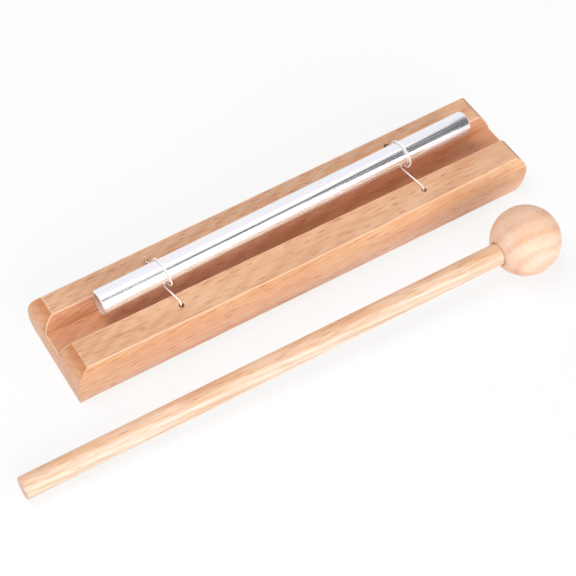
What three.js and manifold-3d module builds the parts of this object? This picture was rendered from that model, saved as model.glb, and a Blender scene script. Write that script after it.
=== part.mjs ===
// Chime bar: a round metal bar hung in two cord slings over a grooved wooden base, with its mallet.
// Millimetres, +Z up. The origin is the middle of the base's underside. +X runs along the base to
// the right, and the mallet lies in front, on the -Y side, on the same table as the base.

import * as THREE from 'three';
import { mergeVertices } from 'three/addons/utils/BufferGeometryUtils.js';
import Module from 'manifold-3d';

const wasm = await Module();
wasm.setup();

// Clearance between pieces that touch on the real object, and how far a cut runs past a face
const gap = 0.3;
const overrun = 3;

// Base block, hand made: its back face runs out a little to the right, and its ends are cut a
// little out of square. One cutter rounds over its top all round and bites deeper in some places
// than in others: an inset is how far the edge of the flat top lies in from the side there.
const baseLength = 210.6;
const baseHeight = 19.5;
const frontReach = 21.2;
const backReachLeft = 19.4;
const backReachRight = 21.4;
const endSkew = THREE.MathUtils.degToRad(0.6);
const cutterRadius = 11.5;
const endInset = 4.9;
const frontInsets = [1.6, 1.1, 2.8];
const backInsets = [3, 2.1, 1.2];
const uprightRadius = 1.5;
const footEase = 0.6;
const roundoverSteps = 12;
const sideSteps = 8;

// Groove along the base, open at both ends, wider at its mouth than at its floor
const grooveMouthWidth = 14.9;
const grooveFloorWidth = 9.5;
const grooveDepth = 7;

// Cord holes: one through each rail at each sling, each with a pocket for its knot underneath. The
// left one in the back rail is wider, as the cord's tail comes back up through it.
const slingX = 56.7;
const frontHoleY = -13.1;
const backHoleYLeft = 11.5;
const backHoleYRight = 13.8;
const backHoleDriftLeft = -1.3;
const holeRadius = 1;
const tailHoleRadius = 1.3;
const pocketRadius = 3.2;
const pocketDepth = 5.2;

// Chime bar, a solid round rod. It hangs slightly askew of the base, as it was left.
const barLength = 174;
const barRadius = 5;
const barChamfer = 0.6;
const barRise = 0.7;
const barCentreX = 1.8;
const barCentreY = 2.25;
const barSkew = THREE.MathUtils.degToRad(1.66);
const barSegments = 64;

// Cord and its stopper knots
const cordRadius = 0.4;
const cordSteps = 80;
const cordSides = 8;
const knotRadius = 1.9;
const knotHeight = 2.6;
const knotSteps = 10;
const tailHeight = 2.6;
const tailLeanX = -0.5;

// One turn of a sling round the bar: the angle in degrees from the bar's back side, how far the
// cord stands off its seat on the bar, and how far it has moved along the bar from its hole
const slingTurn = [
  [-90, 0, -1.5],
  [-45, 0, -1.5],
  [0, 0, -1.45],
  [45, 0, -1.35],
  [90, 0, -1.2],
  [125, 0, -0.85],
  [160, 0.05, -0.3],
  [190, 0.15, 0.3],
  [212, 0.4, 0.6],
  [232, 0.8, 0.6],
  [250, 0.55, 0.5],
  [270, 0.2, 0.35],
];

// Mallet: a wooden ball on a dowel. The ball and the dowel's far end both touch the table.
const headRadius = 14.4;
const handleRadius = 4.5;
const handleChamfer = 0.5;
const malletReach = 220.8;
const headBoreDepth = 17;
const headCentreX = 80.1;
const headCentreY = -51.8;
const malletHeading = THREE.MathUtils.degToRad(178.1);
const headSteps = 26;
const headSegments = 48;
const handleSegments = 32;

// Places that follow from the sizes above
const grooveFloorZ = baseHeight - grooveDepth;
const barCentreZ = baseHeight + barRise + barRadius;
const cordSeat = barRadius + gap + cordRadius;
const cordLevel = baseHeight + gap + cordRadius;
const knotCentreZ = pocketDepth - gap - knotHeight / 2;
const malletTilt = Math.asin((headRadius - handleRadius) / malletReach);


// The two slings, each with its front and back hole
const slings = [
  {
    name: 'left',
    front: { x: -slingX, y: frontHoleY, radius: holeRadius },
    back: { x: -slingX + backHoleDriftLeft, y: backHoleYLeft, radius: tailHoleRadius },
  },
  {
    name: 'right',
    front: { x: slingX, y: frontHoleY, radius: holeRadius },
    back: { x: slingX, y: backHoleYRight, radius: holeRadius },
  },
];

const backMiddle = (backReachLeft + backReachRight) / 2;
const backSlope = (backReachRight - backReachLeft) / baseLength;
const barY = (x) => barCentreY + Math.tan(barSkew) * (x - barCentreX);

// Geometry to solid and back, for cuts and joins

function solidOf(geometry) {
  const bare = geometry.clone();
  bare.deleteAttribute('normal');
  bare.deleteAttribute('uv');
  const merged = mergeVertices(bare);
  return new wasm.Manifold(new wasm.Mesh({
    numProp: 3,
    vertProperties: new Float32Array(merged.attributes.position.array),
    triVerts: new Uint32Array(merged.index.array),
  }));
}

function geometryOf(solid) {
  const mesh = solid.getMesh();
  const geometry = new THREE.BufferGeometry();
  geometry.setAttribute('position', new THREE.BufferAttribute(mesh.vertProperties, 3));
  geometry.setIndex(new THREE.BufferAttribute(mesh.triVerts, 1));
  geometry.computeVertexNormals();
  return geometry;
}

// A closed body through rings of equally many points, with a flat cap at each end
function loftedGeometry(rings) {
  const count = rings[0].length;
  const positions = rings.flat().flatMap((point) => point.toArray());
  const index = [];
  for (let level = 0; level + 1 < rings.length; level += 1) {
    for (let i = 0; i < count; i += 1) {
      const next = (i + 1) % count;
      const low = level * count;
      const high = low + count;
      index.push(low + i, low + next, high + next, low + i, high + next, high + i);
    }
  }
  const capOf = (ring) => THREE.ShapeUtils.triangulateShape(
    ring.map((point) => new THREE.Vector2(point.x, point.y)), []);
  capOf(rings[0]).forEach(([a, b, c]) => index.push(a, c, b));
  const top = (rings.length - 1) * count;
  capOf(rings[rings.length - 1]).forEach(([a, b, c]) => index.push(top + a, top + b, top + c));
  const geometry = new THREE.BufferGeometry();
  geometry.setAttribute('position', new THREE.Float32BufferAttribute(positions, 3));
  geometry.setIndex(index);
  return geometry;
}

// A solid of revolution whose axis is +X
function turnedGeometry(profile, segments) {
  const points = profile.map(([radius, along]) => new THREE.Vector2(radius, along));
  return new THREE.LatheGeometry(points, segments).rotateZ(-Math.PI / 2);
}

function tubeGeometry(points, radius, steps, sides) {
  const section = new THREE.Shape();
  for (let i = 0; i < sides; i += 1) {
    const angle = (2 * Math.PI * i) / sides;
    const place = [radius * Math.cos(angle), radius * Math.sin(angle)];
    if (i === 0) section.moveTo(...place);
    else section.lineTo(...place);
  }
  section.closePath();
  const path = new THREE.CatmullRomCurve3(points, false, 'centripetal');
  path.arcLengthDivisions = 10 * steps;
  return new THREE.ExtrudeGeometry(section, { steps, extrudePath: path, bevelEnabled: false });
}

// Base block

// The inset of a side at x along the base, from its insets at the left end, middle and right end
function insetAt(insets, x) {
  const [left, middle, right] = insets;
  const u = (2 * x) / baseLength;
  return middle + ((right - left) / 2) * u + ((left + right) / 2 - middle) * u * u;
}

// How far a side has come in at height z: the cutter's arc leaves the upright side without a kink
// and meets the flat top at an edge, and the foot is eased by a small arc
function comeIn(z, inset) {
  const drop = Math.sqrt(inset * (2 * cutterRadius - inset));
  const up = Math.max(0, z - (baseHeight - drop));
  const down = Math.max(0, footEase - z);
  return cutterRadius - Math.sqrt(cutterRadius ** 2 - up ** 2)
    + footEase - Math.sqrt(footEase ** 2 - down ** 2);
}

// The base's outline at height z: square at the front left and back right, eased at the others
function baseRing(z) {
  const halfLength = baseLength / 2 - comeIn(z, endInset);
  const backReach = (x) => backMiddle + backSlope * x;
  const front = (x) => comeIn(z, insetAt(frontInsets, x)) - frontReach;
  const back = (x) => backReach(x) - comeIn(z, insetAt(backInsets, x));
  const run = 2 * halfLength - uprightRadius;
  const shape = new THREE.Shape();
  shape.moveTo(-halfLength, front(-halfLength));
  for (let i = 1; i <= sideSteps; i += 1) {
    const x = -halfLength + (run * i) / sideSteps;
    shape.lineTo(x, front(x));
  }
  shape.quadraticCurveTo(halfLength, front(halfLength), halfLength, front(halfLength) + uprightRadius);
  shape.lineTo(halfLength, back(halfLength));
  for (let i = 1; i <= sideSteps; i += 1) {
    const x = halfLength - (run * i) / sideSteps;
    shape.lineTo(x, back(x));
  }
  shape.quadraticCurveTo(-halfLength, back(-halfLength), -halfLength, back(-halfLength) - uprightRadius);
  const cornerSteps = 4;
  return shape.getPoints(cornerSteps).map((point) => (
    new THREE.Vector3(point.x - Math.tan(endSkew) * point.y, point.y, z)));
}

function grooveGeometry() {
  const section = new THREE.Shape();
  const spread = (grooveMouthWidth - grooveFloorWidth) / (2 * grooveDepth);
  const halfFloor = grooveFloorWidth / 2;
  const halfTop = halfFloor + spread * (grooveDepth + overrun);
  const top = baseHeight + overrun;
  section.moveTo(-halfFloor, grooveFloorZ);
  section.lineTo(halfFloor, grooveFloorZ);
  section.lineTo(halfTop, top);
  section.lineTo(-halfTop, top);
  section.closePath();
  const depth = baseLength + 2 * overrun;
  const geometry = new THREE.ExtrudeGeometry(section, { depth, bevelEnabled: false });
  const turn = new THREE.Matrix4().makeBasis(
    new THREE.Vector3(0, 1, 0), new THREE.Vector3(0, 0, 1), new THREE.Vector3(1, 0, 0));
  return geometry.applyMatrix4(turn).translate(-depth / 2, 0, 0);
}

function uprightCylinder(radius, low, high, x, y) {
  const segments = 24;
  return new THREE.CylinderGeometry(radius, radius, high - low, segments)
    .rotateX(Math.PI / 2)
    .translate(x, y, (low + high) / 2);
}

function baseGeometry() {
  const deepest = Math.max(endInset, ...frontInsets, ...backInsets);
  const roundover = Math.sqrt(deepest * (2 * cutterRadius - deepest));
  const easeSteps = 3;
  const rings = [];
  for (let i = 0; i <= easeSteps; i += 1) rings.push(baseRing((footEase * i) / easeSteps));
  for (let i = 0; i <= roundoverSteps; i += 1) {
    rings.push(baseRing(baseHeight - roundover * (1 - i / roundoverSteps)));
  }
  let solid = solidOf(loftedGeometry(rings)).subtract(solidOf(grooveGeometry()));
  for (const { x, y, radius } of slings.flatMap((sling) => [sling.front, sling.back])) {
    const hole = uprightCylinder(radius, -overrun, baseHeight + overrun, x, y);
    const pocket = uprightCylinder(pocketRadius, -overrun, pocketDepth, x, y);
    solid = solid.subtract(solidOf(hole)).subtract(solidOf(pocket));
  }
  return geometryOf(solid);
}

// Chime bar

function barGeometry() {
  const half = barLength / 2;
  return turnedGeometry([
    [0, -half],
    [barRadius - barChamfer, -half],
    [barRadius, -half + barChamfer],
    [barRadius, half - barChamfer],
    [barRadius - barChamfer, half],
    [0, half],
  ], barSegments);
}

// Cords: up a front hole, under the bar and once round it, then down the back hole

// How far a cord leans off its hole's centre to lie beside the rim
const leanIn = (hole) => hole.radius - gap - cordRadius;

// The route from a knot up its hole and onto the rail, towards the bar
function holeToRail(hole) {
  const bend = 2 * cordRadius;
  const inward = -Math.sign(hole.y);
  const y = hole.y + inward * leanIn(hole);
  return [
    [hole.x, y, pocketDepth],
    [hole.x, y, (pocketDepth + baseHeight) / 2],
    [hole.x, y, cordLevel - 2 * bend],
    [hole.x, y + inward * bend / 4, cordLevel - bend / 2],
    [hole.x, y + inward * bend, cordLevel],
    [hole.x, y + inward * 2 * bend, cordLevel],
  ];
}

function slingPoints({ front, back }) {
  const halfMouth = grooveMouthWidth / 2;
  const turn = slingTurn.map(([degrees, off, shift]) => {
    const angle = THREE.MathUtils.degToRad(degrees);
    const x = front.x + shift;
    const reach = cordSeat + off;
    return [x, barY(x) + reach * Math.cos(angle), barCentreZ + reach * Math.sin(angle)];
  });
  const first = turn[0];
  const last = turn[turn.length - 1];
  const mouthShare = 0.4;
  const overMouth = (hole, end) => hole.x + mouthShare * (end[0] - hole.x);
  const route = [
    ...holeToRail(front),
    [overMouth(front, first), -halfMouth, cordLevel],
    ...turn,
    [overMouth(back, last), halfMouth, cordLevel],
    ...holeToRail(back).reverse(),
  ];
  return route.map((point) => new THREE.Vector3(...point));
}

// The tail of the left cord comes back up through its hole and stands proud of the rail
function tailPoints(hole) {
  const y = hole.y + leanIn(hole);
  return [
    [hole.x, y, pocketDepth],
    [hole.x, y, (pocketDepth + baseHeight) / 2],
    [hole.x, y, baseHeight],
    [hole.x + tailLeanX / 4, y, baseHeight + tailHeight / 2],
    [hole.x + tailLeanX, y, baseHeight + tailHeight],
  ].map((point) => new THREE.Vector3(...point));
}

// Least distance between parts of one cord that are more than half a turn of it apart
function leastSelfGap(points) {
  const path = new THREE.CatmullRomCurve3(points, false, 'centripetal');
  const samples = path.getSpacedPoints(4 * cordSteps);
  const spacing = path.getLength() / (4 * cordSteps);
  const apart = Math.ceil((Math.PI * cordSeat) / spacing);
  let least = Infinity;
  for (let i = 0; i < samples.length; i += 1) {
    for (let j = i + apart; j < samples.length; j += 1) {
      least = Math.min(least, samples[i].distanceTo(samples[j]));
    }
  }
  return least - 2 * cordRadius;
}

function knotGeometry() {
  const profile = [];
  for (let i = 0; i <= knotSteps; i += 1) {
    const angle = (Math.PI * i) / knotSteps;
    const radius = i === 0 || i === knotSteps ? 0 : knotRadius * Math.sin(angle);
    profile.push(new THREE.Vector2(radius, (-knotHeight / 2) * Math.cos(angle)));
  }
  const segments = 16;
  return new THREE.LatheGeometry(profile, segments).rotateX(Math.PI / 2);
}

// Mallet, along +X from the ball's centre to the handle's far end

function headGeometry() {
  const boreRadius = handleRadius + gap;
  const mouthAngle = Math.asin(boreRadius / headRadius);
  const mouth = headRadius * Math.cos(mouthAngle);
  const profile = [];
  for (let i = 0; i <= headSteps; i += 1) {
    const angle = Math.PI - ((Math.PI - mouthAngle) * i) / headSteps;
    const radius = i === 0 ? 0 : headRadius * Math.sin(angle);
    profile.push([radius, headRadius * Math.cos(angle)]);
  }
  profile.push([boreRadius, mouth - headBoreDepth], [0, mouth - headBoreDepth]);
  return turnedGeometry(profile, headSegments);
}

function handleGeometry() {
  const mouth = Math.sqrt(headRadius ** 2 - (handleRadius + gap) ** 2);
  const seat = mouth - headBoreDepth + gap;
  return turnedGeometry([
    [0, seat],
    [handleRadius - handleChamfer, seat],
    [handleRadius, seat + handleChamfer],
    [handleRadius, malletReach - handleChamfer],
    [handleRadius - handleChamfer, malletReach],
    [0, malletReach],
  ], handleSegments);
}

// Finishes

const beech = { color: 0xe3b48d, roughness: 0.6, metalness: 0 };
const paleWood = { color: 0xf3d6b4, roughness: 0.62, metalness: 0 };
const aluminium = { color: 0xe6e6ea, roughness: 0.2, metalness: 1 };
const cordWhite = { color: 0xf2ece2, roughness: 0.8, metalness: 0 };

function named(name, geometry, finish) {
  const mesh = new THREE.Mesh(geometry, new THREE.MeshStandardMaterial(finish));
  mesh.name = name;
  return mesh;
}

// Assembly

const group = new THREE.Group();

const bar = named('chime_rod', barGeometry(), aluminium);
bar.position.set(barCentreX, barCentreY, barCentreZ);
bar.rotation.z = barSkew;
group.add(named('base_block', baseGeometry(), beech), bar);

for (const sling of slings) {
  const points = slingPoints(sling);
  const least = leastSelfGap(points).toFixed(2);
  console.log(`${sling.name} cord: least gap to itself ${least} mm`);
  const cord = tubeGeometry(points, cordRadius, cordSteps, cordSides);
  group.add(named(`${sling.name}_cord`, cord, cordWhite));
  for (const rail of ['front', 'back']) {
    const knot = named(`${sling.name}_${rail}_knot`, knotGeometry(), cordWhite);
    knot.position.set(sling[rail].x, sling[rail].y, knotCentreZ);
    group.add(knot);
  }
}
const tailSteps = 12;
const tail = tubeGeometry(tailPoints(slings[0].back), cordRadius, tailSteps, cordSides);
group.add(named('left_cord_tail', tail, cordWhite));

const mallet = new THREE.Group();
mallet.position.set(headCentreX, headCentreY, headRadius);
mallet.rotation.order = 'ZYX';
mallet.rotation.set(0, malletTilt, malletHeading);
mallet.add(named('mallet_head', headGeometry(), paleWood));
mallet.add(named('mallet_handle', handleGeometry(), paleWood));
group.add(mallet);

export default group;
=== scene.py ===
# %% [markdown]
# Chime bar on a beech base, with its mallet.
#
# The real object is a desk chime: a polished aluminium bar hangs in two white cords over a grooved
# block of beech, and a wooden mallet lies in front of it. The shapes come from a CAD model that
# Blender loads first and never moves. Each CAD piece is then replaced by a finer surface of the
# same size and place, because the CAD model has flat facets and plain colours.
#
# Lengths are written in millimetres, as a maker would measure them, and turned to metres once.

# %% Load the CAD frame
import math

import bmesh
import bpy
import numpy as np
from mathutils import Matrix, Vector


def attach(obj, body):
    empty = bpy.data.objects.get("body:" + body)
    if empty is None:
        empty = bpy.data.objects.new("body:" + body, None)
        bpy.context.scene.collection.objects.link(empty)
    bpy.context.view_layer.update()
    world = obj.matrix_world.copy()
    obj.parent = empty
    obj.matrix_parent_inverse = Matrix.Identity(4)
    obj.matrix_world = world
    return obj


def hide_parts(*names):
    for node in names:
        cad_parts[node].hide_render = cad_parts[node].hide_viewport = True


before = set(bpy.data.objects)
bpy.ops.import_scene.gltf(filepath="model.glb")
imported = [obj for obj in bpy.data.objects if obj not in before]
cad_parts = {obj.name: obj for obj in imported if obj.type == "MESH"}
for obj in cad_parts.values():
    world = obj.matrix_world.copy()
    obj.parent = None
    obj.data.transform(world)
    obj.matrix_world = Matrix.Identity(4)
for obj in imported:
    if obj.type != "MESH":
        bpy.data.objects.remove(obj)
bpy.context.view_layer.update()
mm = 0.001
print("nodes:", sorted(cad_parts))

# %% [markdown]
# The camera stands above and to the left of the front edge of the base, and looks down on it.
#
# Its place and turn could be found by eye. Here they were worked out from straight edges of the
# object in the photograph, because a long thin object shows every error in the view. The lens is
# long, about 90 mm on a 36 mm sensor, so the base hardly narrows with distance.

# %% Camera
camera_place = np.array([-214.201, -283.291, 470.837]) * mm
camera_right = (0.84125028, -0.53718633, 0.06106395)
camera_up = (0.40845471, 0.70549004, 0.57917920)
camera_back = (-0.35420716, -0.46229281, 0.81290999)
focal_pixels = 1450
frame_pixels = 576

camera_data = bpy.data.cameras.new("camera")
camera_data.sensor_width = 36
camera_data.lens = focal_pixels / frame_pixels * camera_data.sensor_width
camera_data.clip_start = 0.01
camera = bpy.data.objects.new("camera", camera_data)
camera_turn = Matrix((camera_right, camera_up, camera_back)).transposed()
camera.matrix_world = Matrix.Translation(Vector(camera_place)) @ camera_turn.to_4x4()
bpy.context.scene.collection.objects.link(camera)
bpy.context.scene.camera = camera
print("lens, mm:", round(camera_data.lens, 2))

# %% [markdown]
# Surfaces are worked out as whole arrays of points, ring by ring.
#
# A modeller could push vertices by hand or start from a cylinder. A ring formula is used instead,
# because every radius and length then stays a number that can be read and changed. A skin joins
# each ring to the next with four-sided faces and closes both ends with a fan of triangles round a
# middle point, so that the piece is one closed body whose faces point outwards.

# %% From rings to a mesh
def skin(rings, flat_ends=False):
    """Vertices and faces of a closed body through rings of shape (rings, points, 3).

    Ring r, point p joins r+1 and p+1 in a quad. Each end is a fan to the mean of its ring, or one
    flat face. The points run anticlockwise as seen from the last ring.
    """
    count, around, _ = rings.shape
    p = np.arange(around)
    q = (p + 1) % around
    level = np.arange(count - 1)[:, None] * around
    quads = np.stack([level + p, level + q, level + around + q, level + around + p], -1)
    last = (count - 1) * around
    if flat_ends:
        ends = [p[::-1].tolist(), (last + p).tolist()]
        return rings.reshape(-1, 3), quads.reshape(-1, 4).tolist() + ends
    points = np.vstack([rings.reshape(-1, 3), rings[0].mean(0), rings[-1].mean(0)])
    start, end = count * around, count * around + 1
    first_fan = np.stack([q, p, np.full(around, start)], -1)
    last_fan = np.stack([last + p, last + q, np.full(around, end)], -1)
    faces = quads.reshape(-1, 4).tolist() + first_fan.tolist() + last_fan.tolist()
    return points, faces


def join_skins(skins):
    """One mesh of several closed bodies: each body's faces count on from the points before it."""
    points, faces, offset = [], [], 0
    for part_points, part_faces in skins:
        points.append(part_points)
        faces += [[index + offset for index in face] for face in part_faces]
        offset += len(part_points)
    return np.vstack(points), faces


def make_piece(name, points, faces, sharp_degrees=35):
    """A mesh object at the origin from points in millimetres, smooth but for its sharp edges."""
    mesh = bpy.data.meshes.new(name)
    mesh.from_pydata((points * mm).tolist(), [], faces)
    mesh.validate()
    mesh.shade_smooth()
    mesh.set_sharp_from_angle(angle=math.radians(sharp_degrees))
    made = bpy.data.objects.new(name, mesh)
    bpy.context.scene.collection.objects.link(made)
    return made


# %% [markdown]
# A material starts from the real finish, and its colours are written as they look on a screen.
#
# Blender's nodes work in linear light, so one function turns each screen colour to linear. One
# more function adds a node with its settings and links. A helper for each kind of node would be
# shorter to call, but it would hide which node does the work. Only a mix of two colours and a
# noise stretched along the grain, which come up again and again, have helpers of their own.

# %% Colour and node helpers
def linear(hex_colour):
    """The linear colour of an sRGB hex value: c/12.92 below 0.04045, else ((c+0.055)/1.055)^2.4."""
    digits = hex_colour.lstrip("#")
    screen = np.array([int(digits[i : i + 2], 16) for i in (0, 2, 4)]) / 255
    light = np.where(screen <= 0.04045, screen / 12.92, ((screen + 0.055) / 1.055) ** 2.4)
    return (*light.tolist(), 1.0)


def node(tree, kind, inputs=None, stops=None, **settings):
    """Adds a node. Inputs map a socket's name or number to a value or to another node's output.

    A MapRange maps 1 and 2 to 3 and 4, which are 0, 1, 0 and 1 if unsaid. A Mix's 0 is its
    share, 2 and 3 are its numbers, and 6 and 7 its colours.
    """
    made = tree.nodes.new("ShaderNode" + kind)
    for name, value in settings.items():
        setattr(made, name, value)
    for key, value in (inputs or {}).items():
        if isinstance(value, bpy.types.NodeSocket):
            tree.links.new(value, made.inputs[key])
        else:
            made.inputs[key].default_value = value
    if stops:
        elements = made.color_ramp.elements
        while len(elements) < len(stops):
            elements.new(0.5)
        for element, (place, colour) in zip(elements, stops):
            element.position = place
            element.color = linear(colour) if isinstance(colour, str) else (colour,) * 3 + (1.0,)
    return made


def new_material(name):
    """An empty node material and its tree."""
    material = bpy.data.materials.new(name)
    material.use_nodes = True
    material.node_tree.nodes.clear()
    return material, material.node_tree


def colour_mix(tree, share, below, above, blend_type="MIX"):
    """Lays one colour over another by share. With MULTIPLY the upper colour tints the lower."""
    inputs = {0: share, 6: below, 7: above}
    return node(tree, "Mix", inputs, data_type="RGBA", blend_type=blend_type).outputs[2]


def stretched_noise(tree, place, scale, detail, roughness=0.5):
    """Noise on a place in millimetres. Its blobs are about 1/scale mm long on each axis."""
    scaled = node(tree, "VectorMath", {0: place, 1: scale}, operation="MULTIPLY").outputs[0]
    inputs = {"Vector": scaled, "Scale": 1.0, "Detail": detail, "Roughness": roughness}
    return node(tree, "TexNoise", inputs)


# %% [markdown]
# Wood is a solid pattern, so the same nodes serve every face of a block.
#
# A tree grows in rings round its pith. A board shows those rings as long stripes on its faces and
# as arcs on its ends, and all of them come from one measure: the distance of a point from the
# pith, bent a little by noise. The pattern is built in millimetres on Object coordinates, turned
# so that the grain runs along X. Broad bands make some of the wood darker, and fine fibres run
# along the grain, drawn 0.4 mm across so that they show. Beech adds its mark, thousands of short
# dark flecks, where a face cuts across the rays that run out from the pith. Here they are short
# threads along the grain, which look right on the long faces and are dots on the ends.

# %% Grain and rings
def grain_place(tree, looks):
    """The place on the piece in millimetres, turned so that the grain runs along X."""
    place = node(tree, "TexCoord").outputs["Object"]
    moved = node(tree, "VectorMath", {0: place, 1: looks["centre_m"]}, operation="SUBTRACT")
    inputs = {"Vector": moved.outputs[0], "Rotation": looks["turn"], "Scale": (1000, 1000, 1000)}
    return node(tree, "Mapping", inputs).outputs[0]


def bent_place(tree, grain, bend):
    """The place moved by slow waves across the grain, as a trunk is never a straight cylinder."""
    waves = stretched_noise(tree, grain, (0.02, 0.06, 0.06), 3.0, 0.55).outputs["Color"]
    centred = node(tree, "VectorMath", {0: waves, 1: (0.5, 0.5, 0.5)}, operation="SUBTRACT")
    inputs = {0: centred.outputs[0], 1: (0, bend, bend), 2: grain}
    return node(tree, "VectorMath", inputs, operation="MULTIPLY_ADD").outputs[0]


def ring_colour(tree, bent, looks):
    """Rings round the pith: at a distance r the tone is at a share (1+sin(2 pi r/ring_mm))/2.

    They lie askew of the fibres, which is why they cross a board's face in slanting waves.
    """
    skewed = node(tree, "Mapping", {"Vector": bent, "Rotation": looks["skew"]}).outputs[0]
    across = node(tree, "VectorMath", {0: skewed, 1: (0.0, 1.0, 1.0)}, operation="MULTIPLY")
    pith = (0, *looks["pith_mm"])
    from_pith = node(tree, "VectorMath", {0: across.outputs[0], 1: pith}, operation="SUBTRACT")
    radius = node(tree, "VectorMath", {0: from_pith.outputs[0]}, operation="LENGTH")
    rate = 2 * math.pi / looks["ring_mm"]
    turn = node(tree, "Math", {0: radius.outputs["Value"], 1: rate}, operation="MULTIPLY")
    wave = node(tree, "Math", {0: turn.outputs[0]}, operation="SINE")
    share = node(tree, "MapRange", {"Value": wave.outputs[0], 1: -1.0, 2: 1.0})
    return node(tree, "ValToRGB", {"Fac": share.outputs[0]}, stops=looks["ring_stops"]).outputs[0]


# %% Flecks
def fleck_mask(tree, grain, looks):
    """Short threads along the grain where rays are cut, on the base about 4 mm by 0.3 mm.

    Each is the core of a Voronoi cell, and the cell's own random value says how dark it is.
    """
    place = node(tree, "VectorMath", {0: grain, 1: looks["fleck_scale"]}, operation="MULTIPLY")
    cells = node(tree, "TexVoronoi", {"Vector": place.outputs[0], "Scale": 1.0})
    distance, value = cells.outputs["Distance"], cells.outputs["Color"]
    core = node(tree, "MapRange", {"Value": distance, 1: 0.20, 2: 0.26, 3: 1.0, 4: 0.0})
    red = node(tree, "SeparateColor", {"Color": value}).outputs[0]
    dark = node(tree, "MapRange", {"Value": red, 2: looks["fleck_limit"], 3: 1.0, 4: 0.0})
    inputs = {0: core.outputs[0], 1: dark.outputs[0]}
    return node(tree, "Math", inputs, operation="MULTIPLY").outputs[0]


# %% Wood finish
def wood_finish(name, looks):
    """Lays rings, bands, fibres and flecks over one another, by the numbers in looks."""
    material, tree = new_material(name)
    grain = grain_place(tree, looks)
    bent = bent_place(tree, grain, looks["bend_mm"])
    rings = ring_colour(tree, bent, looks)
    bands = stretched_noise(tree, bent, (0.03, 0.12, 0.12), 1.0).outputs[0]
    band_tone = node(tree, "ValToRGB", {"Fac": bands}, stops=looks["band_stops"]).outputs[0]
    banded = colour_mix(tree, 1.0, rings, band_tone, "MULTIPLY")
    fibres = stretched_noise(tree, grain, looks["fibre_scale"], 2.0, 0.6).outputs[0]
    fibre_tone = node(tree, "ValToRGB", {"Fac": fibres}, stops=looks["fibre_stops"]).outputs[0]
    fibred = colour_mix(tree, 1.0, banded, fibre_tone, "MULTIPLY")
    flecks = fleck_mask(tree, grain, looks)
    depth = node(tree, "Math", {0: flecks, 1: looks["fleck_share"]}, operation="MULTIPLY")
    flecked = colour_mix(tree, depth.outputs[0], fibred, linear(looks["fleck_colour"]))
    relief = node(tree, "Math", {0: flecks, 1: -0.5, 2: fibres}, operation="MULTIPLY_ADD")
    return material, tree, grain, flecked, relief.outputs[0]


def wood_surface(material, tree, colour, relief, roughness):
    """Finishes a wood. Its fibres and flecks leave a relief some hundredths of a mm deep."""
    bump = node(tree, "Bump", {"Height": relief, "Strength": 0.35, "Distance": 0.06 * mm})
    shader = node(
        tree,
        "BsdfPrincipled",
        {"Base Color": colour, "Roughness": roughness, "Normal": bump.outputs[0]},
    )
    node(tree, "OutputMaterial", {"Surface": shader.outputs[0]})
    return material


# %% [markdown]
# The base is beech, planed, rounded over with a cutter, sanded and oiled.
#
# Beech is a pale pinkish brown, and the oil makes it warmer where the cutter has burnished it, in
# the rounded band under the top edge. That band is told from the rest by its height, because it
# follows the edge all round. The side and end tones are also paler towards the foot, a painted
# light that stands in for the bounce from the white table. End grain soaks up more oil and turns
# darker there, so the faces that look along the grain have tones of their own. The groove is darker
# too, a painted shade for the shadow in it and under the bar, and its tone reaches just past its
# walls and its floor. Rubbed edges are paler, partly as worn wood and partly as painted highlights
# on the arrises.

# %% Oiled beech
# Bounds of the painted shade in the groove, in mm: half its width, and the height above which it
# lies.
groove_shade_side, groove_shade_bottom = 7.48, 12.3
tone_height = 20


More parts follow.
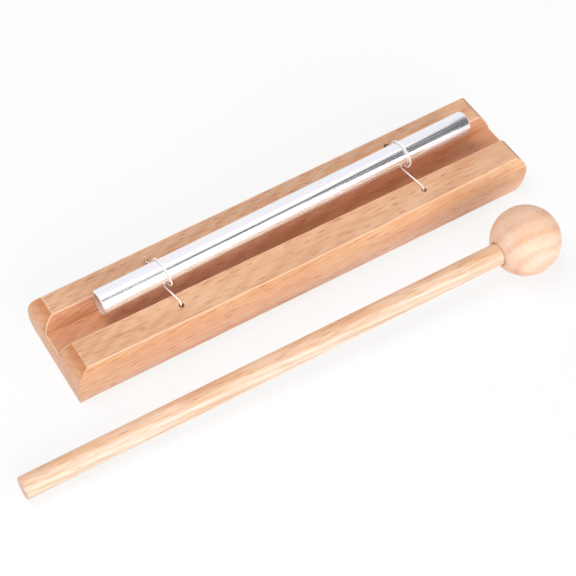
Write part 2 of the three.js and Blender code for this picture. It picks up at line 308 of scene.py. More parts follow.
def beech_finish(name, wear_and_highlight):
    """Oiled beech: side and end faces have their own tones by height, with a painted light near
    the foot and a painted shade in the groove. A share of a pale edge colour makes it paler, for
    worn edges and for painted highlights on them.
    """
    material, tree, grain, colour, relief = wood_finish(
        name,
        {
            "centre_m": (0, 0, 0),
            "turn": (0, 0, 0),
            "skew": (0, 0, math.radians(-27)),
            "pith_mm": (-70, -160),
            "bend_mm": 1.2,
            "ring_mm": 2.3,
            "ring_stops": [(0, "#eabfa1"), (0.4, "#eec5a8"), (1, "#f1caae")],
            "band_stops": [(0.35, "#f8efe8"), (0.65, "#ffffff")],
            "fibre_scale": (0.11, 2.8, 2.8),
            "fibre_stops": [(0.30, "#e8cbb6"), (0.45, "#faf3ed"), (0.6, "#ffffff")],
            "fleck_scale": (0.12, 1.5, 1.5),
            "fleck_limit": 0.6,
            "fleck_share": 1.0,
            "fleck_colour": "#ac5a28",
        },
    )
    parts = node(tree, "SeparateXYZ", {0: grain}).outputs
    height = node(tree, "Math", {0: parts[2], 1: 1 / tone_height}, operation="MULTIPLY").outputs[0]
    # Sides and ends are paler towards the foot: painted light for the bounce from the table.
    side_and_foot_light_stops = [(0.2, "#ffffff"), (0.5, "#f3ebde"), (0.8, "#f7ecd6"), (0.956, "#f6e9d0")]
    side_tone_and_foot_light = node(tree, "ValToRGB", {"Fac": height}, stops=[*side_and_foot_light_stops, (0.972, "#efe8dc")])
    end_and_foot_light_stops = [(0.2, "#ffffff"), (0.6, "#fff6ee"), (0.8, "#f4dec6"), (0.9, "#e2c09a")]
    end_tone_and_foot_light = node(tree, "ValToRGB", {"Fac": height}, stops=[*end_and_foot_light_stops, (0.96, "#d9b48b")])
    facing = node(tree, "SeparateXYZ", {0: node(tree, "NewGeometry").outputs["Normal"]})
    facing_end = node(tree, "Math", {0: facing.outputs[0]}, operation="ABSOLUTE")
    end_share = node(tree, "MapRange", {"Value": facing_end.outputs[0], 1: 0.4, 2: 0.6})
    tone = colour_mix(tree, end_share.outputs[0], side_tone_and_foot_light.outputs[0], end_tone_and_foot_light.outputs[0])
    # Painted shade: the groove's walls and floor are darkened, for the shadow in it and under the
    # bar.
    from_middle = node(tree, "Math", {0: parts[1]}, operation="ABSOLUTE").outputs[0]
    between_rails = node(tree, "Math", {0: from_middle, 1: groove_shade_side}, operation="LESS_THAN")
    over_floor = node(tree, "Math", {0: parts[2], 1: groove_shade_bottom}, operation="GREATER_THAN")
    in_groove = node(
        tree, "Math", {0: between_rails.outputs[0], 1: over_floor.outputs[0]}, operation="MULTIPLY"
    )
    tone_with_painted_groove_shade = colour_mix(tree, in_groove.outputs[0], tone, linear("#ecd5c0"))
    oiled_with_painted_light_and_shade = colour_mix(tree, 1.0, colour, tone_with_painted_groove_shade, "MULTIPLY")
    # The pale edge colour stands for worn wood and is also a painted highlight on the arrises.
    worn = colour_mix(tree, wear_and_highlight, oiled_with_painted_light_and_shade, linear("#fbd3b7"))
    return wood_surface(material, tree, worn, relief, 0.5)


beech = beech_finish("oiled beech", 0.0)
worn_and_highlit_beech = beech_finish("worn and highlit edges of oiled beech", 0.6)
print("made", beech.name, "and", worn_and_highlit_beech.name)

# %% [markdown]
# The base block is one strip of beech with a groove along its top.
#
# It could be a box with bevelled edges, but the real block is hand made: its back face runs out a
# little to the right, its ends are cut a little out of square, and the cutter that rounded its top
# bit deeper in some places than in others. So its outline is worked out at each height. At height
# z a side has come in by R - sqrt(R^2 - up^2), where up is the height above the start of the
# cutter's arc, which stops short of a quarter circle and so leaves an edge at the flat top. Near
# the foot the left end leans in at its back, and the upright corners at the front right and the
# back left are rounder.

# %% Base outline
base_length, base_height = 210.6, 19.5
front_reach, back_reach_left, back_reach_right = 21.2, 19.4, 21.4
end_skew = math.radians(0.6)
cutter_radius, end_inset = 11.5, 4.9
front_insets = (1.6, 1.1, 2.8)
back_insets = (3.0, 2.1, 1.2)
foot_ease, arris_radius = 0.6, 0.3
upright_radius, foot_rounding, foot_reach = 0.35, 3.6, 7.0
left_lean, lean_reach = 0.75, 10.0


def inset_at(insets, x):
    """The inset at x, on the parabola through its left, middle and right values."""
    left, middle, right = insets
    u = 2 * x / base_length
    return middle + (right - left) / 2 * u + ((left + right) / 2 - middle) * u**2


def come_in(z, inset):
    """How far a side has come in at height z: by the cutter's arc above and the foot's below."""
    drop = np.sqrt(inset * (2 * cutter_radius - inset))
    up = np.maximum(0, z - (base_height - drop))
    down = np.maximum(0, foot_ease - z)
    return (
        cutter_radius
        - np.sqrt(cutter_radius**2 - up**2)
        + foot_ease
        - np.sqrt(foot_ease**2 - down**2)
    )


def upright_radius_at(z):
    """The two eased upright corners are rounder in the lowest 7 mm, by (1-z/7)^2."""
    return upright_radius + foot_rounding * np.maximum(0, 1 - z / foot_reach) ** 2


def lean_at(z):
    """How far the left end leans in at its back, by (1-z/10)^2 in the lowest 10 mm."""
    return left_lean * np.maximum(0, 1 - z / lean_reach) ** 2


def rounded_corner(start, corner, end, share):
    """A quadratic curve: (1-t)^2 start + 2t(1-t) corner + t^2 end."""
    return (1 - share) ** 2 * start + 2 * share * (1 - share) * corner + share**2 * end


def base_rings(z, side_steps=24, corner_steps=6):
    """The block's outlines at the heights z, anticlockwise from the front left corner."""
    z = z[:, None]
    half = base_length / 2 - come_in(z, end_inset)
    eased = upright_radius_at(z)
    run = 2 * half - eased

    def front(x):
        return come_in(z, inset_at(front_insets, x)) - front_reach

    def back(x):
        middle = (back_reach_left + back_reach_right) / 2
        slope = (back_reach_right - back_reach_left) / base_length
        return middle + slope * x - come_in(z, inset_at(back_insets, x))

    along = np.linspace(0, 1, side_steps + 1)[None, :]
    turn = np.linspace(0, 1, corner_steps + 1)[None, 1:]
    front_x = -half + run * along
    right_x = rounded_corner(half - eased, half, half, turn)
    right_y = rounded_corner(front(half - eased), front(half), front(half) + eased, turn)
    lean = lean_at(z)
    back_x = half - (run - lean) * along
    left_x = rounded_corner(-half + lean + eased, -half + lean, -half + lean, turn)
    left_y = rounded_corner(back(-half + eased), back(-half), back(-half) - eased, turn)
    x = np.hstack([front_x, right_x, back_x, left_x])
    y = np.hstack([front(front_x), right_y, back(back_x), left_y])
    return np.stack([x - math.tan(end_skew) * y, y, z + 0 * x], -1)


roundover = math.sqrt(end_inset * (2 * cutter_radius - end_inset))
base_heights = np.concatenate(
    [
        foot_ease * (1 - np.cos(np.linspace(0, np.pi / 2, 7))),
        np.linspace(foot_ease, lean_reach, 8)[1:-1],
        np.linspace(base_height - roundover, base_height, 11),
    ]
)
block_points, block_faces = skin(base_rings(base_heights), flat_ends=True)
print("base outline:", len(block_points), "points")

# %% [markdown]
# The groove and the cord holes are cut out of the block, as a saw and a drill would cut them.
#
# They could be part of the block's own formula, but a cut is simpler to read as the shape of its
# tool. The groove's tool is wider at the top, and each hole has a wide pocket below for its knot.
# A bevel rubs off every edge that points outwards, before the holes are drilled. Its faces take
# the paler worn finish, which also paints highlights on the arrises, but for the rails' end edges,
# which stay plain. The left back hole is tight on its cord, so it is drilled narrower than the hole
# that the cord's route is laid through.

# %% Tools for the groove and the holes
groove_mouth, groove_floor, groove_depth = 14.9, 9.5, 7.0
sling_x = 56.7
hole_radius, tail_hole_radius = 1.0, 1.3
pocket_radius, pocket_depth = 3.2, 5.2
tight_hole = (-sling_x - 1.45, 11.55, 0.9)
holes = {
    "left_front": (-sling_x, -13.1, hole_radius),
    "left_back": (-sling_x - 1.3, 11.5, tail_hole_radius),
    "right_front": (sling_x, -13.1, hole_radius),
    "right_back": (sling_x, 13.8, hole_radius),
}


def turned(profile, segments):
    """Rings of a turned body about +Z from rows of (radius, height)."""
    radius, along = np.asarray(profile, float).T[:, :, None]
    angle = np.linspace(0, 2 * np.pi, segments, endpoint=False)[None, :]
    flat = np.ones_like(angle)
    return np.stack([radius * np.cos(angle), radius * np.sin(angle), along * flat], -1)


def groove_rings():
    """The groove's section at both ends of its run: flat floor and sloping walls."""
    past = 3.0
    spread = (groove_mouth - groove_floor) / 2 / groove_depth
    floor_z = base_height - groove_depth
    half = np.array(
        [
            [groove_floor / 2, floor_z],
            [groove_floor / 2 + spread * (groove_depth + past), base_height + past],
        ]
    )
    loop = np.vstack([half, (half * (-1, 1))[::-1]])
    ends = np.array([-1, 1])[:, None] * (base_length / 2 + past) * np.ones(len(loop))
    return np.stack([ends, loop[:, 0] + 0 * ends, loop[:, 1] + 0 * ends], -1)


def hole_rings(x, y, radius):
    """Pocket, hole and a rubbed rim, as one turned cutter that stands in the block."""
    rim, past = 0.15, 1.0
    profile = [
        (pocket_radius, -past),
        (pocket_radius, pocket_depth),
        (radius, pocket_depth),
        (radius, base_height - rim),
        (radius + rim, base_height),
        (radius + rim, base_height + past),
    ]
    return turned(profile, 40) + (x, y, 0)


print("holes, mm:", holes)


# %% Cutting and rubbing
def settle(piece):
    """Makes the mesh that the piece's modifiers give the piece's own."""
    bpy.context.view_layer.update()
    shown = piece.evaluated_get(bpy.context.evaluated_depsgraph_get())
    result = bpy.data.meshes.new_from_object(shown)
    piece.modifiers.clear()
    piece.data = result


def cut(piece, cutters):
    """Takes each cutter out of the piece."""
    for cutter in cutters:
        step = piece.modifiers.new("cut", "BOOLEAN")
        step.operation, step.solver, step.object = "DIFFERENCE", "EXACT", cutter
    settle(piece)
    for cutter in cutters:
        bpy.data.objects.remove(cutter)


def mark_outer_edges(piece, degrees=28):
    """Gives a full bevel weight to each outward edge between faces that turn more than this."""
    shape = bmesh.new()
    shape.from_mesh(piece.data)
    weight = shape.edges.layers.float.new("bevel_weight_edge")
    for edge in shape.edges:
        edge[weight] = float(edge.is_convex and edge.calc_face_angle(0) > math.radians(degrees))
    shape.to_mesh(piece.data)
    shape.free()


def keeps_plain_edge(face, least_slope=0.15):
    """Whether a worn face leans towards an end of the block and lies outside the groove."""
    in_groove = abs(face.center.y) < (groove_mouth / 2 + arris_radius) * mm
    return face.material_index == 1 and abs(face.normal.x) > least_slope and not in_groove


# %% Base
base = make_piece("base", block_points, block_faces)
base.data.materials.append(beech)
base.data.materials.append(worn_and_highlit_beech)
cut(base, [make_piece("groove_cutter", *skin(groove_rings(), flat_ends=True))])
mark_outer_edges(base)
rub = base.modifiers.new("rubbed edges", "BEVEL")
rub.limit_method, rub.use_clamp_overlap = "WEIGHT", False
rub.width, rub.segments, rub.material = arris_radius * mm, 3, 1
settle(base)
# The rails' end edges take back the plain finish, so they show no painted highlight.
for face in base.data.polygons:
    if keeps_plain_edge(face):
        face.material_index = 0
drilled = holes | {"left_back": tight_hole}
cut(base, [make_piece(f"{name}_cutter", *skin(hole_rings(*at))) for name, at in drilled.items()])
base.data.shade_smooth()
base.data.set_sharp_from_angle(angle=math.radians(40))
normals = base.modifiers.new("flat faces stay flat", "WEIGHTED_NORMAL")
normals.keep_sharp = True
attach(base, "base")
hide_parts("base_block")
worn = sum(face.material_index == 1 for face in base.data.polygons)
print("base:", len(base.data.polygons), "faces, of which worn:", worn)

# %% [markdown]
# The bar is a solid aluminium rod, drawn and then polished, with its end edges broken.
#
# A metal takes its look from what it reflects, so its colour is plain and the light does the rest.
# Drawing leaves faint lines along the rod: between them it is nearly a mirror, and on them it
# spreads the light round the rod but hardly along it. The sawn ends were sanded, so they are dull
# and a pinkish grey. The metallic share is under one, for the thin haze on worn aluminium.

# %% Drawn aluminium
bar_length, bar_radius, bar_chamfer = 174, 5.0, 0.6
bar_centre = np.array([1.8, 2.25, base_height + 0.7 + bar_radius])
bar_skew = math.radians(1.66)
end_skin = 0.05

aluminium, bar_tree = new_material("drawn aluminium")
bar_place = node(bar_tree, "TexCoord").outputs["Object"]
bar_grain = node(
    bar_tree,
    "Mapping",
    {"Vector": bar_place, "Rotation": (0, 0, -bar_skew), "Scale": (1000, 1000, 1000)},
)
bar_lines = stretched_noise(bar_tree, bar_grain.outputs[0], (0.02, 14, 14), 2.0)
bar_gloss = node(
    bar_tree, "MapRange", {"Value": bar_lines.outputs[0], 1: 0.48, 2: 0.66, 3: 0.06, 4: 0.4}
)
bar_along = node(bar_tree, "SeparateXYZ", {0: bar_grain.outputs[0]})
bar_middle = bar_centre[0] * math.cos(bar_skew) + bar_centre[1] * math.sin(bar_skew)
bar_reach = node(
    bar_tree,
    "Math",
    {0: bar_along.outputs[0], 1: float(bar_middle), 2: bar_length / 2 - end_skin},
    operation="COMPARE",
)
bar_rough = node(bar_tree, "Mix", {0: bar_reach.outputs[0], 2: 0.55, 3: bar_gloss.outputs[0]})
bar_tint = colour_mix(bar_tree, bar_reach.outputs[0], linear("#d8c6bb"), linear("#f6f5f8"))
bar_round = node(bar_tree, "Tangent", direction_type="RADIAL", axis="X")
bar_shader = node(
    bar_tree,
    "BsdfPrincipled",
    {
        "Base Color": bar_tint,
        "Metallic": 0.85,
        "Roughness": bar_rough.outputs[0],
        "Anisotropic": 0.85,
        "Tangent": bar_round.outputs[0],
    },
)
node(bar_tree, "OutputMaterial", {"Surface": bar_shader.outputs[0]})
print("made", aluminium.name)

# %% Bar
def turn_to(points, direction, place):
    """Turns points about +Z so that +Z lies along a direction, then moves them to a place."""
    along = np.asarray(direction, float) / np.linalg.norm(direction)
    side = np.cross((0, 0, 1), along)
    side /= np.linalg.norm(side)
    return points @ np.stack([side, np.cross(along, side), along]) + place


def eased_rod(half, radius, ease, rub):
    """Profile of a rod from -half to +half: a chamfer of size ease whose corners are rubbed.

    Each corner is rounded over a length of rub on both its sides, 0.7 rub each way where one of
    them is the chamfer at 45 degrees.
    """
    bow = np.linspace(0, 1, 4)[:, None]
    slant = np.array([rub, -rub]) * 0.7
    on_end, end_edge = np.array([radius - ease - rub, half]), np.array([radius - ease, half])
    side_edge, on_side = np.array([radius, half - ease]), np.array([radius, half - ease - rub])
    inner = rounded_corner(on_end, end_edge, end_edge + slant, bow)
    outer = rounded_corner(side_edge - slant, side_edge, on_side, bow)
    end = np.vstack([[[radius * 0.5, half]], inner, outer])[::-1]
    start = (end * (1, -1))[::-1]
    middle = np.stack([np.full(9, radius), np.linspace(-0.9, 0.9, 9) * half], -1)
    return np.vstack([start, middle, end])


bar_axis = (math.cos(bar_skew), math.sin(bar_skew), 0)
bar_rings = turned(eased_rod(bar_length / 2, bar_radius, bar_chamfer, 0.15), 128)
bar = make_piece("bar", *skin(turn_to(bar_rings, bar_axis, bar_centre)), sharp_degrees=60)
bar.data.materials.append(aluminium)
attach(bar, "chime")
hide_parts("chime_rod")
print("bar:", len(bar.data.polygons), "faces")

# %% [markdown]
# Each cord comes up a hole in the front rail, passes under the bar and once round it, and goes
# down a hole in the back rail.
#
# A plain tube would do from far away. The real cord is three strands laid together, so three thin
# tubes are wound round the cord's route, which repeats the points of the CAD model. The route is a
# smooth curve through them: between two points it follows the Catmull-Rom rule, in which the
# direction at a point comes from its two neighbours and the square roots of the distances.

# %% Cord routes
gap, cord_radius = 0.3, 0.4
cord_seat = bar_radius + gap + cord_radius
cord_level = base_height + gap + cord_radius
sling_turn = [
    [-90, 0, -1.5],
    [-45, 0, -1.5],
    [0, 0, -1.45],
    [45, 0, -1.35],
    [90, 0, -1.2],
    [125, 0, -0.85],
    [160, 0.05, -0.3],
    [190, 0.15, 0.3],
    [212, 0.4, 0.6],
    [232, 0.8, 0.6],
    [250, 0.55, 0.5],
    [270, 0.2, 0.35],
]


def hole_to_rail(x, y, radius):
    """From the knot up the hole's inner side and over its rim, towards the bar."""
    bend = 2 * cord_radius
    inward = -np.sign(y)
    y = y + inward * (radius - gap - cord_radius)
    step = np.array([0, 0, 0, bend / 4, bend, 2 * bend]) * inward
    z = [pocket_depth, (pocket_depth + base_height) / 2, cord_level - 2 * bend]
    z += [cord_level - bend / 2, cord_level, cord_level]
    return np.stack([np.full(6, x), y + step, z], -1)


def sling_route(front, back):
    """Knot to knot: front hole, groove mouth, once round the bar, groove mouth, back hole.

    A row of sling_turn is the angle round the bar, the distance off its seat and the shift along X.
    """
    degrees, off, shift = np.array(sling_turn, float).T
    angle = np.radians(degrees)
    x = front[0] + shift
    axis_y = bar_centre[1] + math.tan(bar_skew) * (x - bar_centre[0])
    reach = cord_seat + off
    turn = np.stack([x, axis_y + reach * np.cos(angle), bar_centre[2] + reach * np.sin(angle)], -1)
    mouth, share = groove_mouth / 2, 0.4
    to_bar = [[front[0] + share * (turn[0, 0] - front[0]), -mouth, cord_level]]
    from_bar = [[back[0] + share * (turn[-1, 0] - back[0]), mouth, cord_level]]
    return np.vstack([hole_to_rail(*front), to_bar, turn, from_bar, hole_to_rail(*back)[::-1]])


def smooth_curve(points, spacing):
    """Evenly spaced points on the centripetal Catmull-Rom curve through the given ones."""
    ends = np.vstack([2 * points[0] - points[1], points, 2 * points[-1] - points[-2]])
    knot = np.concatenate([[0], np.cumsum(np.linalg.norm(np.diff(ends, axis=0), axis=1) ** 0.5)])
    t = np.linspace(knot[1], knot[-2], 60 * len(points))
    i = np.clip(np.searchsorted(knot, t, side="right") - 1, 1, len(points) - 1)

    def blend(low, high, a, b):
        return ((high - t) / (high - low))[:, None] * a + ((t - low) / (high - low))[:, None] * b

    a1 = blend(knot[i - 1], knot[i], ends[i - 1], ends[i])
    a2 = blend(knot[i], knot[i + 1], ends[i], ends[i + 1])
    a3 = blend(knot[i + 1], knot[i + 2], ends[i + 1], ends[i + 2])
    b1 = blend(knot[i - 1], knot[i + 1], a1, a2)
    b2 = blend(knot[i], knot[i + 2], a2, a3)
    curve = blend(knot[i], knot[i + 1], b1, b2)
    length = np.concatenate([[0], np.cumsum(np.linalg.norm(np.diff(curve, axis=0), axis=1))])
    even = np.linspace(0, length[-1], max(2, int(length[-1] / spacing)))
    return np.stack([np.interp(even, length, curve[:, k]) for k in range(3)], -1), length[-1]


routes = {
    "left": sling_route(holes["left_front"], holes["left_back"]),
    "right": sling_route(holes["right_front"], holes["right_back"]),
}
for side, route in routes.items():
    print(f"{side} cord: {smooth_curve(route, 0.5)[1]:.1f} mm between its knots")

# %% [markdown]
# The cord's finish is soft white cotton, a little cream where it has been handled.
#
# Thread scatters light, so it is rough, and a touch of sheen stands for the fuzz of its fibres.

# %% White cotton cord
def cotton_finish(name, shade, light):
    """Twisted cotton between two tones: matt, with fine uneven fibres 0.3 mm apart."""
    material, tree = new_material(name)
    place = node(tree, "TexCoord").outputs["Object"]
    tone = node(tree, "TexNoise", {"Vector": place, "Scale": 3000.0})
    colour = node(tree, "ValToRGB", {"Fac": tone.outputs[0]}, stops=[(0.3, shade), (0.6, light)])
    bump = node(tree, "Bump", {"Height": tone.outputs[0], "Strength": 0.3, "Distance": 0.05 * mm})
    shader = node(
        tree,
        "BsdfPrincipled",
        {
            "Base Color": colour.outputs[0],
            "Roughness": 0.9,
            "Sheen Weight": 0.1,
            "Normal": bump.outputs[0],
        },
    )
    node(tree, "OutputMaterial", {"Surface": shader.outputs[0]})
    return material


cotton = cotton_finish("white cotton cord", "#f6f0ec", "#fffdfb")
frayed_cotton = cotton_finish("frayed cotton end", "#ecd0a4", "#fbe9c8")
print("made", cotton.name, "and", frayed_cotton.name)

# %% Cord strands
def carried_frame(path):
    """Unit directions along a path, and two more square to it that turn no more than they must."""
    along = np.gradient(path, axis=0)
    along /= np.linalg.norm(along, axis=1)[:, None]
    across = np.empty_like(along)
    aside = (0.3, 0.9, 0.2)
    start = np.cross(along[0], aside)
    across[0] = start / np.linalg.norm(start)
    for i in range(1, len(path)):
        side = across[i - 1] - along[i] * (across[i - 1] @ along[i])
        across[i] = side / np.linalg.norm(side)
    return along, across, np.cross(along, across)


def strand(path, radius, sides=9):
    """A tube along a path: circles of the given radius in the plane square to the path."""
    _, across, over = carried_frame(path)
    angle = np.linspace(0, 2 * np.pi, sides, endpoint=False)
    cosine, sine = np.cos(angle)[None, :, None], np.sin(angle)[None, :, None]
    ring = cosine * across[:, None] + sine * over[:, None]
    return skin(path[:, None] + np.reshape(radius, (-1, 1, 1)) * ring)


def laid_cord(path, pitch=2.2, radius=0.32, strands=3, strand_share=0.64):
    """Strands wound round a path: each has a share of the cord's radius and sinks into the rest."""
    _, across, over = carried_frame(path)
    step = np.linalg.norm(np.diff(path, axis=0), axis=1)
    turn = 2 * np.pi * np.concatenate([[0], np.cumsum(step)]) / pitch
    thin = radius * strand_share
    skins = []
    for k in range(strands):
        angle = (turn + 2 * np.pi * k / strands)[:, None]
        centre = path + (radius - thin) * (np.cos(angle) * across + np.sin(angle) * over)
        skins.append(strand(centre, thin))
    return join_skins(skins)


for side, route in routes.items():
    path, _ = smooth_curve(route, 0.18)
    cord = make_piece(f"{side}_sling", *laid_cord(path), sharp_degrees=80)
    cord.data.materials.append(cotton)
    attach(cord, "base")
    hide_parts(f"{side}_cord")
    print(f"{side} sling:", len(cord.data.polygons), "faces")

# %% [markdown]
# Under the base each cord is stopped by an overhand knot in its pocket.
#
# A ball would fill the pocket, but whoever turns the block over sees a knot. An overhand knot is
# an open trefoil: the cord goes twice round while it weaves three times in and out.

# %% Knots
knot_radius, knot_height = 1.9, 2.6
knot_centre_z = pocket_depth - gap - knot_height / 2


def knot_path():
    """Open trefoil: radius 1+0.42cos(3t) at angle 2t, height sin(3t), left open at its ends."""
    weave, opening = 0.42, 0.22
    t = np.linspace(opening, 2 * np.pi - opening, 160)
    reach = (knot_radius - cord_radius) / (1 + weave)
    x = reach * (1 + weave * np.cos(3 * t)) * np.cos(2 * t)
    y = reach * (1 + weave * np.cos(3 * t)) * np.sin(2 * t)
    z = (knot_height / 2 - cord_radius) * np.sin(3 * t)
    return np.stack([x, y, z], -1)


for name, (x, y, _) in holes.items():
    path = knot_path() + (x, y, knot_centre_z)
    knot = make_piece(f"{name}_overhand", *laid_cord(path, radius=cord_radius), sharp_degrees=80)
    knot.data.materials.append(cotton)
    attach(knot, "base")
    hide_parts(f"{name}_knot")
    print(f"{name} knot:", len(knot.data.polygons), "faces")

# %% [markdown]
# The end of the left cord comes back up its hole and stands proud of the back rail, frayed.
#
# The thinner yarns of its strands stay together in the hole and part above it, so each has its own
# path: the tail's route plus a spread that grows with height. Six yarns go round a seventh, and a
# row of the table is how far one yarn's tip has spread in x, y and z. The end has taken up oil.

# %% Frayed tail
tail_height, tail_lean = 2.6, -0.5
tail_x, tail_y = holes["left_back"][0] - 0.3, holes["left_back"][1] + 0.42
yarn_radius, yarn_ring, yarn_pitch, yarns_around = 0.35, 0.34, 9, 6
parting_depth = 0.8
tail_spread = [
    [-0.6, 0.1, -0.2],
    [0.5, 0.2, -0.1],
    [-0.1, 0.4, -0.6],
    [-0.4, -1.3, -2.1],
    [0.2, -1.0, -1.9],
    [-0.7, -0.7, -1.6],
    [0.0, -0.4, -1.0],
]

tail_skins = []
for k, spread in enumerate(tail_spread):
    up = np.linspace(0, 1, 60)[:, None]
    z = pocket_depth + (base_height + tail_height - pocket_depth) * up
    above = np.clip((z - base_height + parting_depth) / (tail_height + parting_depth), 0, 1)
    angle = 2 * np.pi * (z / yarn_pitch + k / yarns_around)
    ring = 0.0 if k == yarns_around else yarn_ring
    x = tail_x + tail_lean * above**2 + ring * np.cos(angle) + spread[0] * above**1.3
    y = tail_y + ring * np.sin(angle) + spread[1] * above**1.3
    path = np.hstack([x, y, z + spread[2] * above**3])
    tail_skins.append(strand(path, yarn_radius * (1 - 0.25 * above[:, 0] ** 2)))
tail = make_piece("frayed_tail", *join_skins(tail_skins), sharp_degrees=80)
tail.data.materials.append(frayed_cotton)
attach(tail, "base")
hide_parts("left_cord_tail")
print("tail:", len(tail.data.polygons), "faces")

# %% [markdown]
# The mallet is a turned ball glued on a dowel, both of a pale wood with no stain.
#
# It lies on the table on the ball and on the dowel's far end, so it tilts a little. Its finish is
# the same kind of wood as the base with other numbers: paler, fainter flecks, and turned so that
# the grain follows the dowel. The dowel's lower front side is painted paler than its back, a
# painted light for the bounce from the white table.

# %% Mallet
head_radius, handle_radius, handle_chamfer = 14.4, 4.5, 0.5
mallet_reach, bore_depth = 220.8, 17.0
pole_gap, rim_width, rim_depth = 0.04, 0.25, 0.2
head_centre = np.array([80.1, -51.8, head_radius])
heading = math.radians(178.1)
tilt = math.asin((head_radius - handle_radius) / mallet_reach)
mallet_axis = np.array(
    [math.cos(heading) * math.cos(tilt), math.sin(heading) * math.cos(tilt), -math.sin(tilt)]
)
bore_radius = handle_radius + gap
mouth = math.sqrt(head_radius**2 - bore_radius**2)

rim_angle = math.asin((bore_radius + rim_width) / head_radius)
ball_angle = np.linspace(np.pi - pole_gap, rim_angle, 72)
ball_profile = np.stack([head_radius * np.sin(ball_angle), head_radius * np.cos(ball_angle)], -1)
bore_profile = [
    (bore_radius, mouth - rim_depth),
    (bore_radius, mouth - bore_depth * 0.5),
    (bore_radius, mouth - bore_depth),
]
head_rings = turned(np.vstack([ball_profile, bore_profile]), 120)
head = make_piece("head", *skin(turn_to(head_rings, mallet_axis, head_centre)), sharp_degrees=40)

seat = mouth - bore_depth + gap
handle_half = (mallet_reach - seat) / 2
handle_rings = turned(eased_rod(handle_half, handle_radius, handle_chamfer, 0.2), 96)
handle_middle = head_centre + mallet_axis * (seat + handle_half)
handle_body = skin(turn_to(handle_rings, mallet_axis, handle_middle))
handle = make_piece("handle", *handle_body, sharp_degrees=60)
print("head:", len(head.data.polygons), "faces, handle:", len(handle.data.polygons), "faces")

# %% Turned and dowelled wood
mallet_grain = {"centre_m": (head_centre * mm).tolist(), "turn": (0, 0, -heading)}
ball_wood, ball_tree, _, ball_colour, ball_relief = wood_finish(
    "sanded beech ball",
    mallet_grain
    | {
        "skew": (0, 0.6, -0.35),
        "pith_mm": (24, -4),
        "bend_mm": 4,
        "ring_mm": 6.5,
        "ring_stops": [(0, "#ecc5a8"), (0.3, "#f0cdb5"), (0.7, "#f3d5bf")],
        "band_stops": [(0.34, "#faeee4"), (0.55, "#ffffff")],
        "fibre_scale": (0.2, 2.8, 2.8),
        "fibre_stops": [(0.26, "#f3e2d5"), (0.45, "#fcf7f3"), (0.6, "#ffffff")],
        "fleck_scale": (0.25, 1.8, 0.5),
        "fleck_limit": 0.25,
        "fleck_share": 0.4,
        "fleck_colour": "#b98558",
    },
)
wood_surface(ball_wood, ball_tree, ball_colour, ball_relief, 0.68)
dowel_wood, dowel_tree, _, dowel_colour, dowel_relief = wood_finish(
    "planed beech dowel",
    mallet_grain
    | {
        "skew": (0, 0, math.radians(1)),
        "pith_mm": (-40, 60),
        "bend_mm": 1.2,
        "ring_mm": 2.6,
        "ring_stops": [(0, "#e8cfb6"), (0.5, "#edd8c5"), (1, "#f0e2d3")],
        "band_stops": [(0.32, "#f4e6d8"), (0.62, "#ffffff")],
        "fibre_scale": (0.05, 2.4, 2.4),
        "fibre_stops": [(0.28, "#dabca3"), (0.42, "#f5eae0"), (0.6, "#ffffff")],
        "fleck_scale": (0.10, 2.0, 0.5),
        "fleck_limit": 0.4,
        "fleck_share": 0.6,
        "fleck_colour": "#9c6a45",
    },
)
# Painted light: the dowel's side that faces front and down is made paler, for the table's bounce.
dowel_facing = node(dowel_tree, "NewGeometry").outputs["Normal"]
painted_light_side = (0, -0.87, -0.49)
towards_painted_light = node(
    dowel_tree, "VectorMath", {0: dowel_facing, 1: painted_light_side}, operation="DOT_PRODUCT"
)
painted_light_share = node(dowel_tree, "MapRange", {"Value": towards_painted_light.outputs["Value"], 1: -0.4, 2: 0.3})
dowel_painted_light_tone = node(
    dowel_tree, "ValToRGB", {"Fac": painted_light_share.outputs[0]}, stops=[(0, "#ffeada"), (1, "#ffffff")]
)
dowel_with_painted_light = colour_mix(dowel_tree, 1.0, dowel_colour, dowel_painted_light_tone.outputs[0], "MULTIPLY")
wood_surface(dowel_wood, dowel_tree, dowel_with_painted_light, dowel_relief, 0.62)
print("made", ball_wood.name, "and", dowel_wood.name)

# %% Mallet's finish
for piece, wood, replaced in (
    (head, ball_wood, "mallet_head"),
    (handle, dowel_wood, "mallet_handle"),
):
    piece.data.materials.append(wood)
    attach(piece, "mallet")
    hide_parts(replaced)
    print(replaced, "has", wood.name)

# %% [markdown]
# The object stands on a plain white table in soft light.
#
# Two big lamps give soft shadows, and the white room fills them. What the camera sees beyond the
# object is white as well, but most of that white adds no light to the object: it shows to the
# camera and in reflections alone. The table lies a hair under the object's foot, so that the two
# faces don't share a plane.

# %% Floor
def seen_or_mirrored(tree):
    """1 for a ray from the camera or from a reflection, and 0 for the rest."""
    ray = node(tree, "LightPath").outputs
    inputs = {0: ray["Is Camera Ray"], 1: ray["Is Glossy Ray"]}
    return node(tree, "Math", inputs, operation="MAXIMUM").outputs[0]


glow_share = 0.78
floor_material, floor_tree = new_material("matt white table")
floor_paint = node(floor_tree, "BsdfDiffuse", {"Color": linear("#f4f4f5")})
floor_glow = node(floor_tree, "Emission", {"Color": (1, 1, 1, 1), "Strength": 1.0})
floor_shown = seen_or_mirrored(floor_tree)
floor_share = node(floor_tree, "Math", {0: floor_shown, 1: glow_share}, operation="MULTIPLY")
floor_mix = node(
    floor_tree,
    "MixShader",
    {0: floor_share.outputs[0], 1: floor_paint.outputs[0], 2: floor_glow.outputs[0]},
)
node(floor_tree, "OutputMaterial", {"Surface": floor_mix.outputs[0]})

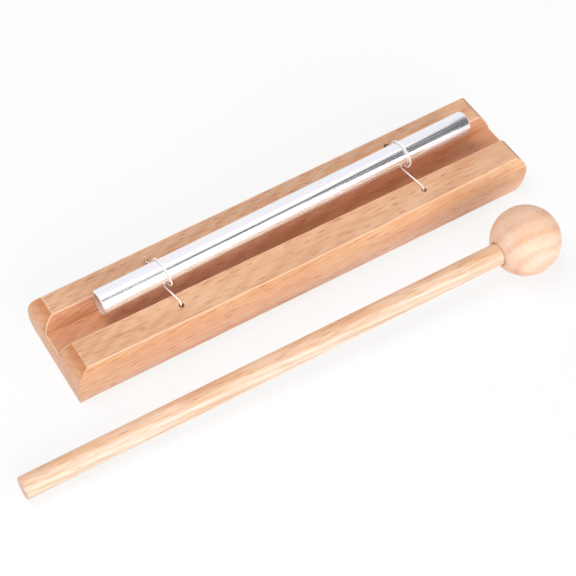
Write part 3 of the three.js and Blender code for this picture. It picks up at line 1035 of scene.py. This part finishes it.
floor_size, floor_drop = 4000, 0.02
floor_points = np.array([[-1, -1, 0], [1, -1, 0], [1, 1, 0], [-1, 1, 0]]) * floor_size / 2.0
floor_points[:, 2] = -floor_drop
floor = make_piece("floor", floor_points, [[0, 1, 2, 3]])
floor.data.materials.append(floor_material)
print("floor, mm:", floor_size)

# %% Room
world = bpy.data.worlds.new("white room")
bpy.context.scene.world = world
world.use_nodes = True
room = world.node_tree
room.nodes.clear()
seen_through = node(room, "LightPath").outputs["Is Transmission Ray"]
shown = node(room, "Math", {0: seen_or_mirrored(room), 1: seen_through}, operation="MAXIMUM")
fill_strength = 0.37
room_strength = node(room, "MapRange", {"Value": shown.outputs[0], 3: fill_strength})
room_light = node(
    room, "Background", {"Color": (1, 1, 1, 1), "Strength": room_strength.outputs[0]}
)
node(room, "OutputWorld", {"Surface": room_light.outputs[0]})
bpy.context.scene.view_settings.view_transform = "Standard"
print("room's share of fill light:", fill_strength)


# %% Lamps
lamp_target = (0, -15, 10)


def soft_lamp(name, place, watts, width, height):
    """A lamp of width by height at a place in millimetres, facing the target."""
    data = bpy.data.lights.new(name, "AREA")
    data.shape, data.energy = "RECTANGLE", watts
    data.size, data.size_y = width * mm, height * mm
    lamp = bpy.data.objects.new(name, data)
    spot = np.array(place, float)
    aim = Vector((np.array(lamp_target) - spot).tolist())
    turn = aim.to_track_quat("-Z", "Y").to_matrix().to_4x4()
    lamp.matrix_world = Matrix.Translation(Vector(spot * mm)) @ turn
    bpy.context.scene.collection.objects.link(lamp)
    return lamp


front_lamp = soft_lamp("front lamp", (100, -1300, 600), 16.5, 2000, 900)
back_lamp = soft_lamp("back lamp", (-450, 300, 1250), 10, 800, 800)
front_lamp.visible_glossy = back_lamp.visible_glossy = False
print("lamps:", front_lamp.name, back_lamp.name)

# %% [markdown]
# Polished metal needs something to show, so a panel hangs over the table for it alone.
#
# A long dark slot in the bright panel draws the thin grey line along the bar, and the slot opens
# out to the right, which darkens the bar's right end. Behind the slot the panel is white up to a
# faint grey line and a cool white beyond it, which gives the bar's upper side two bands. In front
# a bright low strip lights the bar's lower rim, and it fades to the right. The panel is seen in
# reflections only: it lights nothing and casts no shadow. On the panel, phi is the angle from
# straight up towards the front, and the right share is the reach to the right over the distance
# from the bar's line.

# %% Panel place
panel_height = 900
panel_material, panel_tree = new_material("bright panel with a dark slot")
panel_place = node(panel_tree, "TexCoord").outputs["Object"]
panel_parts = node(panel_tree, "SeparateXYZ", {0: panel_place}).outputs
front_inputs = {0: panel_parts[1], 1: -1 / (panel_height * mm)}
front_slope = node(panel_tree, "Math", front_inputs, operation="MULTIPLY")
phi = node(panel_tree, "Math", {0: front_slope.outputs[0]}, operation="ARCTANGENT").outputs[0]
flat_place = node(panel_tree, "VectorMath", {0: panel_place, 1: (0, 1, 1)}, operation="MULTIPLY")
distance = node(panel_tree, "VectorMath", {0: flat_place.outputs[0]}, operation="LENGTH")
right_inputs = {0: panel_parts[0], 1: distance.outputs["Value"]}
right_share = node(panel_tree, "Math", right_inputs, operation="DIVIDE").outputs[0]
print("panel over the table, mm:", panel_height)

# %% Panel slot
slot_half = node(
    panel_tree,
    "ValToRGB",
    {"Fac": right_share},
    stops=[(0.0, 0.16), (0.45, 0.18), (0.505, 0.26), (0.565, 0.4), (0.63, 0.66), (0.69, 0.85)],
)
slot_middle = math.radians(32.5)
off_middle = node(panel_tree, "Math", {0: phi, 1: slot_middle}, operation="SUBTRACT")
off_size = node(panel_tree, "Math", {0: off_middle.outputs[0]}, operation="ABSOLUTE")
off_share = node(
    panel_tree, "Math", {0: off_size.outputs[0], 1: slot_half.outputs[0]}, operation="DIVIDE"
)
slot_glow = node(
    panel_tree, "MapRange", {"Value": off_share.outputs[0], 1: 0.7, 2: 1.25, 3: 0.02, 4: 1.0}
)
print("slot's middle, degrees:", round(math.degrees(slot_middle), 1))

# %% Panel tone and strength
tone_place = node(panel_tree, "MapRange", {"Value": phi, 1: -0.6, 2: 0.0})
panel_tone = node(
    panel_tree,
    "ValToRGB",
    {"Fac": tone_place.outputs[0]},
    stops=[(0.3, "#faf8fe"), (0.45, "#e6e4ea"), (0.6, "#ffffff")],
)
back_glow = node(panel_tree, "MapRange", {"Value": phi, 1: -0.33, 2: -0.24, 3: 1.0, 4: 1.14})
front_glow = node(panel_tree, "MapRange", {"Value": phi, 1: 1.1, 2: 1.25, 3: 1.2, 4: 12.0})
right_fade = node(panel_tree, "MapRange", {"Value": right_share, 1: 0.45, 2: 0.62, 3: 1.0, 4: 0.3})
front_strength = node(
    panel_tree, "Math", {0: front_glow.outputs[0], 1: right_fade.outputs[0]}, operation="MULTIPLY"
)
in_front = node(panel_tree, "MapRange", {"Value": phi, 1: 0.5, 2: 0.7})
side_strength = node(
    panel_tree,
    "Mix",
    {0: in_front.outputs[0], 2: back_glow.outputs[0], 3: front_strength.outputs[0]},
)
panel_strength = node(
    panel_tree, "Math", {0: slot_glow.outputs[0], 1: side_strength.outputs[0]}, operation="MULTIPLY"
)
panel_light = node(
    panel_tree, "Emission", {"Color": panel_tone.outputs[0], "Strength": panel_strength.outputs[0]}
)
node(panel_tree, "OutputMaterial", {"Surface": panel_light.outputs[0]})
print("made", panel_material.name)

# %% Panel
panel_corners = [[-3500, -4500], [5500, -4500], [5500, 3500], [-3500, 3500]]
panel_points = np.array([[x, y, panel_height] for x, y in panel_corners], float)
panel = make_piece("panel", panel_points, [[0, 3, 2, 1]])
panel.data.materials.append(panel_material)
panel.visible_camera = panel.visible_diffuse = panel.visible_shadow = False
panel.visible_transmission = False
print("panel, mm:", np.ptp(panel_points, axis=0).tolist())
